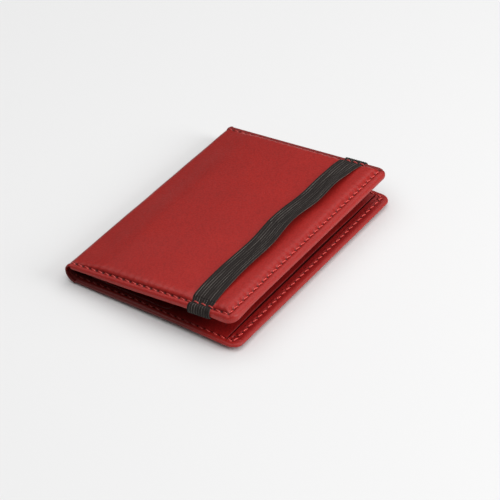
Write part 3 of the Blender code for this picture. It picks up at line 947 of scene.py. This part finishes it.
def leather_finish(name, grain, shade_mixer, deep, plain, worn, edge, roughness, relief):
    """Dyed leather: blotchy from deep to worn with darker creases, the edge colour on cut edges, and painted
    shade.
    """
    made, tree, shader = finish(name, plain, roughness, Specular_IOR_Level=0.3)
    place = add(tree, "TexCoord").outputs["Object"]
    skin = place_group(tree, grain, Vector=place)
    height, mottle = skin.outputs["Height"], skin.outputs["Mottle"]
    cut, hollow, shade_amount = (
        add(tree, "Attribute", {"attribute_name": label}).outputs["Fac"]
        for label in ("cut_edge", "hollow", "painted_shade")
    )
    base = ramp(tree, mottle, (0.3, deep), (0.52, plain), (0.72, worn))
    creases = ranged(tree, height, 0.1, 0.9, 0.86, 1.05)
    toned = add(tree, "VectorMath", {"operation": "SCALE"}, i0=base, Scale=creases)
    edged = mixed_colour(tree, ranged(tree, cut, 0.5, 0.95, 0.0, 1.0), toned.outputs[0], (*edge, 1.0))
    # Painted shade in the seam's needle holes and trough, and just inside the seam.
    shade = ranged(tree, hollow, 0.3, 0.85, 1.0, 0.12)
    darker = add(tree, "VectorMath", {"operation": "SCALE"}, i0=edged, Scale=shade)
    # Painted shade: the near-black red that shaded places are turned towards, by the amount that their
    # attribute gives.
    dark = (0.012, 0.002, 0.001, 1.0)
    colour = place_group(tree, shade_mixer, Color=darker.outputs[0], Dye=dark, Amount=shade_amount)
    tree.links.new(colour.outputs["Color"], shader.inputs["Base Color"])
    gloss = ranged(tree, mottle, 0.3, 0.7, roughness + 0.06, roughness - 0.05)
    tree.links.new(gloss, shader.inputs["Roughness"])
    add_relief(tree, shader, height, relief, 0.00012)
    return made


def lining_finish(weave):
    """Plain woven cloth, darker between its threads."""
    made, tree, shader = finish("lining_cloth", (0.1, 0.008, 0.007), 0.85, Specular_IOR_Level=0.2)
    place = add(tree, "TexCoord").outputs["UV"]
    cloth = place_group(tree, weave, Vector=place, Threads=2600.0)
    colour = ramp(tree, cloth.outputs["Gap"], (0.0, (0.09, 0.006, 0.005)), (1.0, (0.03, 0.002, 0.002)))
    tree.links.new(colour, shader.inputs["Base Color"])
    add_relief(tree, shader, cloth.outputs["Height"], 0.7, 0.0001)
    return made


def thread_finish(shade_mixer):
    """Two plies twisted together: diagonal stripes that follow each stitch."""
    made, tree, shader = finish("stitching_thread", (0.5, 0.05, 0.04), 0.42)
    parts = add(tree, "SeparateXYZ", Vector=add(tree, "TexCoord").outputs["UV"])
    radians_per_metre = 9000.0
    along = combined(tree, "MULTIPLY", parts.outputs["X"], radians_per_metre)
    ply = combined(tree, "SINE", combined(tree, "ADD", along, parts.outputs["Y"]))
    level = ranged(tree, ply, -1.0, 0.4, 0.0, 1.0)
    stripes = ramp(tree, level, (0.0, (0.40, 0.016, 0.014)), (1.0, (0.95, 0.105, 0.088)))
    # Painted shade: stitches are turned towards a near-black red by the amount that their attribute gives.
    shade_amount = add(tree, "Attribute", {"attribute_name": "painted_shade"}).outputs["Fac"]
    colour = place_group(tree, shade_mixer, Color=stripes, Dye=(0.03, 0.002, 0.002, 1.0), Amount=shade_amount)
    tree.links.new(colour.outputs["Color"], shader.inputs["Base Color"])
    add_relief(tree, shader, level, 0.6, 0.00008)
    return made


def elastic_finish(weave):
    """Ribbed elastic: dark covering yarn, with fine pale threads that come and go between the ribs."""
    made, tree, shader = finish("ribbed_elastic", (0.035, 0.026, 0.022), 0.8, Specular_IOR_Level=0.25)
    place = add(tree, "TexCoord").outputs["UV"]
    across = add(tree, "SeparateXYZ", Vector=place).outputs["X"]
    rib = crest(tree, ranged(tree, across, -BAND_WIDTH / 2, BAND_WIDTH / 2, 0.0, float(BAND_RIBS)))
    dip = ranged(tree, rib, 0.06, 0.24, 1.0, 0.0)
    drawn_out = add(tree, "VectorMath", {"operation": "MULTIPLY"}, i0=place, i1=(1.0, 0.10, 1.0))
    patchy = add(tree, "TexNoise", Vector=drawn_out.outputs[0], Scale=620.0, Detail=2.0).outputs["Fac"]
    pale = combined(tree, "MULTIPLY", dip, ranged(tree, patchy, 0.40, 0.64, 0.15, 1.0))
    yarn = ramp(tree, patchy, (0.3, (0.012, 0.008, 0.007)), (0.7, (0.020, 0.014, 0.012)))
    colour = mixed_colour(tree, pale, yarn, (0.27, 0.25, 0.225, 1.0))
    tree.links.new(colour, shader.inputs["Base Color"])
    woven = place_group(tree, weave, Vector=place, Threads=4200.0)
    add_relief(tree, shader, woven.outputs["Height"], 0.22, 0.0001)
    return made


def speckled_finish(name, low, high, roughness, scale, relief):
    """A material of fine grains or cells, for board fibres and foam."""
    made, tree, shader = finish(name, high, roughness)
    place = add(tree, "TexCoord").outputs["Object"]
    noise = add(tree, "TexNoise", Vector=place, Scale=scale, Detail=5.0, Roughness=0.7)
    cells = add(tree, "TexVoronoi", Vector=place, Scale=scale * 1.4)
    level = combined(tree, "MULTIPLY", noise.outputs["Fac"], cells.outputs["Distance"])
    tree.links.new(ramp(tree, level, (0.05, low), (0.4, high)), shader.inputs["Base Color"])
    add_relief(tree, shader, level, relief, 0.0002)
    return made


def make_finishes():
    """Every material of the holder, by name."""
    grain, weave, shade_mixer = leather_grain(), plain_weave(), painted_shade_mix()
    return {
        "cover_leather": leather_finish(
            "cover_leather", grain, shade_mixer,
            deep=(0.335, 0.014, 0.011), plain=(0.355, 0.016, 0.013), worn=(0.375, 0.019, 0.015),
            edge=(0.37, 0.020, 0.016), roughness=0.40, relief=0.25,
        ),
        "pocket_leather": leather_finish(
            "pocket_leather", grain, shade_mixer,
            deep=(0.32, 0.010, 0.010), plain=(0.36, 0.013, 0.012), worn=(0.40, 0.018, 0.015),
            # The dark edge colour is painted shade in the slit between the pocket panel and the opening
            # strip.
            edge=(0.12, 0.006, 0.006), roughness=0.42, relief=0.45,
        ),
        "red_lining": lining_finish(weave),
        "red_thread": thread_finish(shade_mixer),
        "dark_elastic": elastic_finish(weave),
        "grey_board": speckled_finish("grey_board", (0.20, 0.19, 0.17), (0.40, 0.38, 0.34), 0.9, 900.0, 0.4),
        "pale_foam": speckled_finish("pale_foam", (0.50, 0.47, 0.38), (0.80, 0.77, 0.68), 0.9, 1500.0, 0.8),
    }


# The scene


def aim(thing, target):
    """Turns a camera or a light so that it looks at target, with its top upwards."""
    direction = np.array(target) - np.array(thing.location)
    flat = math.hypot(direction[0], direction[1])
    thing.rotation_euler = (math.atan2(flat, -direction[2]), 0.0, math.atan2(-direction[0], direction[1]))


def add_camera():
    level = math.cos(VIEW_ELEVATION)
    back = (math.sin(VIEW_AZIMUTH) * level, -math.cos(VIEW_AZIMUTH) * level, math.sin(VIEW_ELEVATION))
    data = bpy.data.cameras.new("camera")
    data.lens = LENS
    data.sensor_width = SENSOR_WIDTH
    camera = bpy.data.objects.new("camera", data)
    camera.location = [t + VIEW_DISTANCE * b for t, b in zip(VIEW_TARGET, back)]
    bpy.context.scene.collection.objects.link(camera)
    aim(camera, VIEW_TARGET)
    bpy.context.scene.camera = camera


def add_floor():
    half, grey = 1.0, (0.80, 0.80, 0.80)
    mesh = bpy.data.meshes.new("floor")
    corners = [(-half, -half, 0), (half, -half, 0), (half, half, 0), (-half, half, 0)]
    mesh.from_pydata(corners, [], [(0, 1, 2, 3)])
    made, _, _ = finish("floor", grey, 0.9, Base_Color=(*grey, 1.0), Specular_IOR_Level=0.0)
    mesh.materials.append(made)
    floor = bpy.data.objects.new("floor", mesh)
    bpy.context.scene.collection.objects.link(floor)


def add_light(name, place, size, power):
    """A square soft light at place that looks at the holder."""
    data = bpy.data.lights.new(name, "AREA")
    data.size = size
    data.energy = power
    light = bpy.data.objects.new(name, data)
    light.location = place
    bpy.context.scene.collection.objects.link(light)
    aim(light, (0, 0, 0))


def add_studio():
    """A pale backdrop that lights the holder only a little, a large light above and a small one beside."""
    world = bpy.data.worlds.new("studio")
    world.use_nodes = True
    tree = world.node_tree
    backdrop = tree.nodes["Background"]
    backdrop.inputs["Color"].default_value = (1.0, 1.0, 1.0, 1.0)
    seen = add(tree, "LightPath").outputs["Is Camera Ray"]
    tree.links.new(ranged(tree, seen, 0.0, 1.0, 0.11, 0.85), backdrop.inputs["Strength"])
    bpy.context.scene.world = world
    add_light("overhead_softbox", (0.05, 0.05, 1.10), 2.2, 22.8)
    add_light("window_side_light", (0.90, 0.25, 0.42), 0.5, 5.0)
    bpy.context.scene.view_settings.view_transform = "Standard"


def add_stitches(finish):
    """Each cover's needle stitches outside and bobbin stitches inside, along one row of holes."""
    holes = seam_holes()
    middle = (holes[:-1] + holes[1:]) / 2
    for cover in (LOWER, UPPER):
        outside = needle_depth(cover, *middle.T)
        inside = inner_depth(cover, *middle.T) - INNER_PULL * seam_pull(*middle.T)
        for kind, surface, outward in (("needle", outside, -1), ("bobbin", inside, 1)):
            row = stitch_row(f"{cover.name}_{kind}_stitches", cover, finish, holes, surface, outward)
            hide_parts(f"{cover.name}_{kind}_thread")


def main():
    finishes = make_finishes()
    leather_cover(LOWER, finishes["cover_leather"], ["lower_cover_leather", "spine_leather"])
    leather_cover(UPPER, finishes["cover_leather"], ["upper_cover_leather"])
    add_inner_layers(finishes)
    add_stitches(finishes["red_thread"])
    add_elastic(finishes["dark_elastic"])
    for node in ("lower_cover_stiffener_board", "upper_cover_stiffener_board", "spine_reinforcement"):
        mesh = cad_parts[node].data
        mesh.materials.clear()
        mesh.materials.append(finishes["grey_board"])

    add_floor()
    add_studio()
    add_camera()


main()
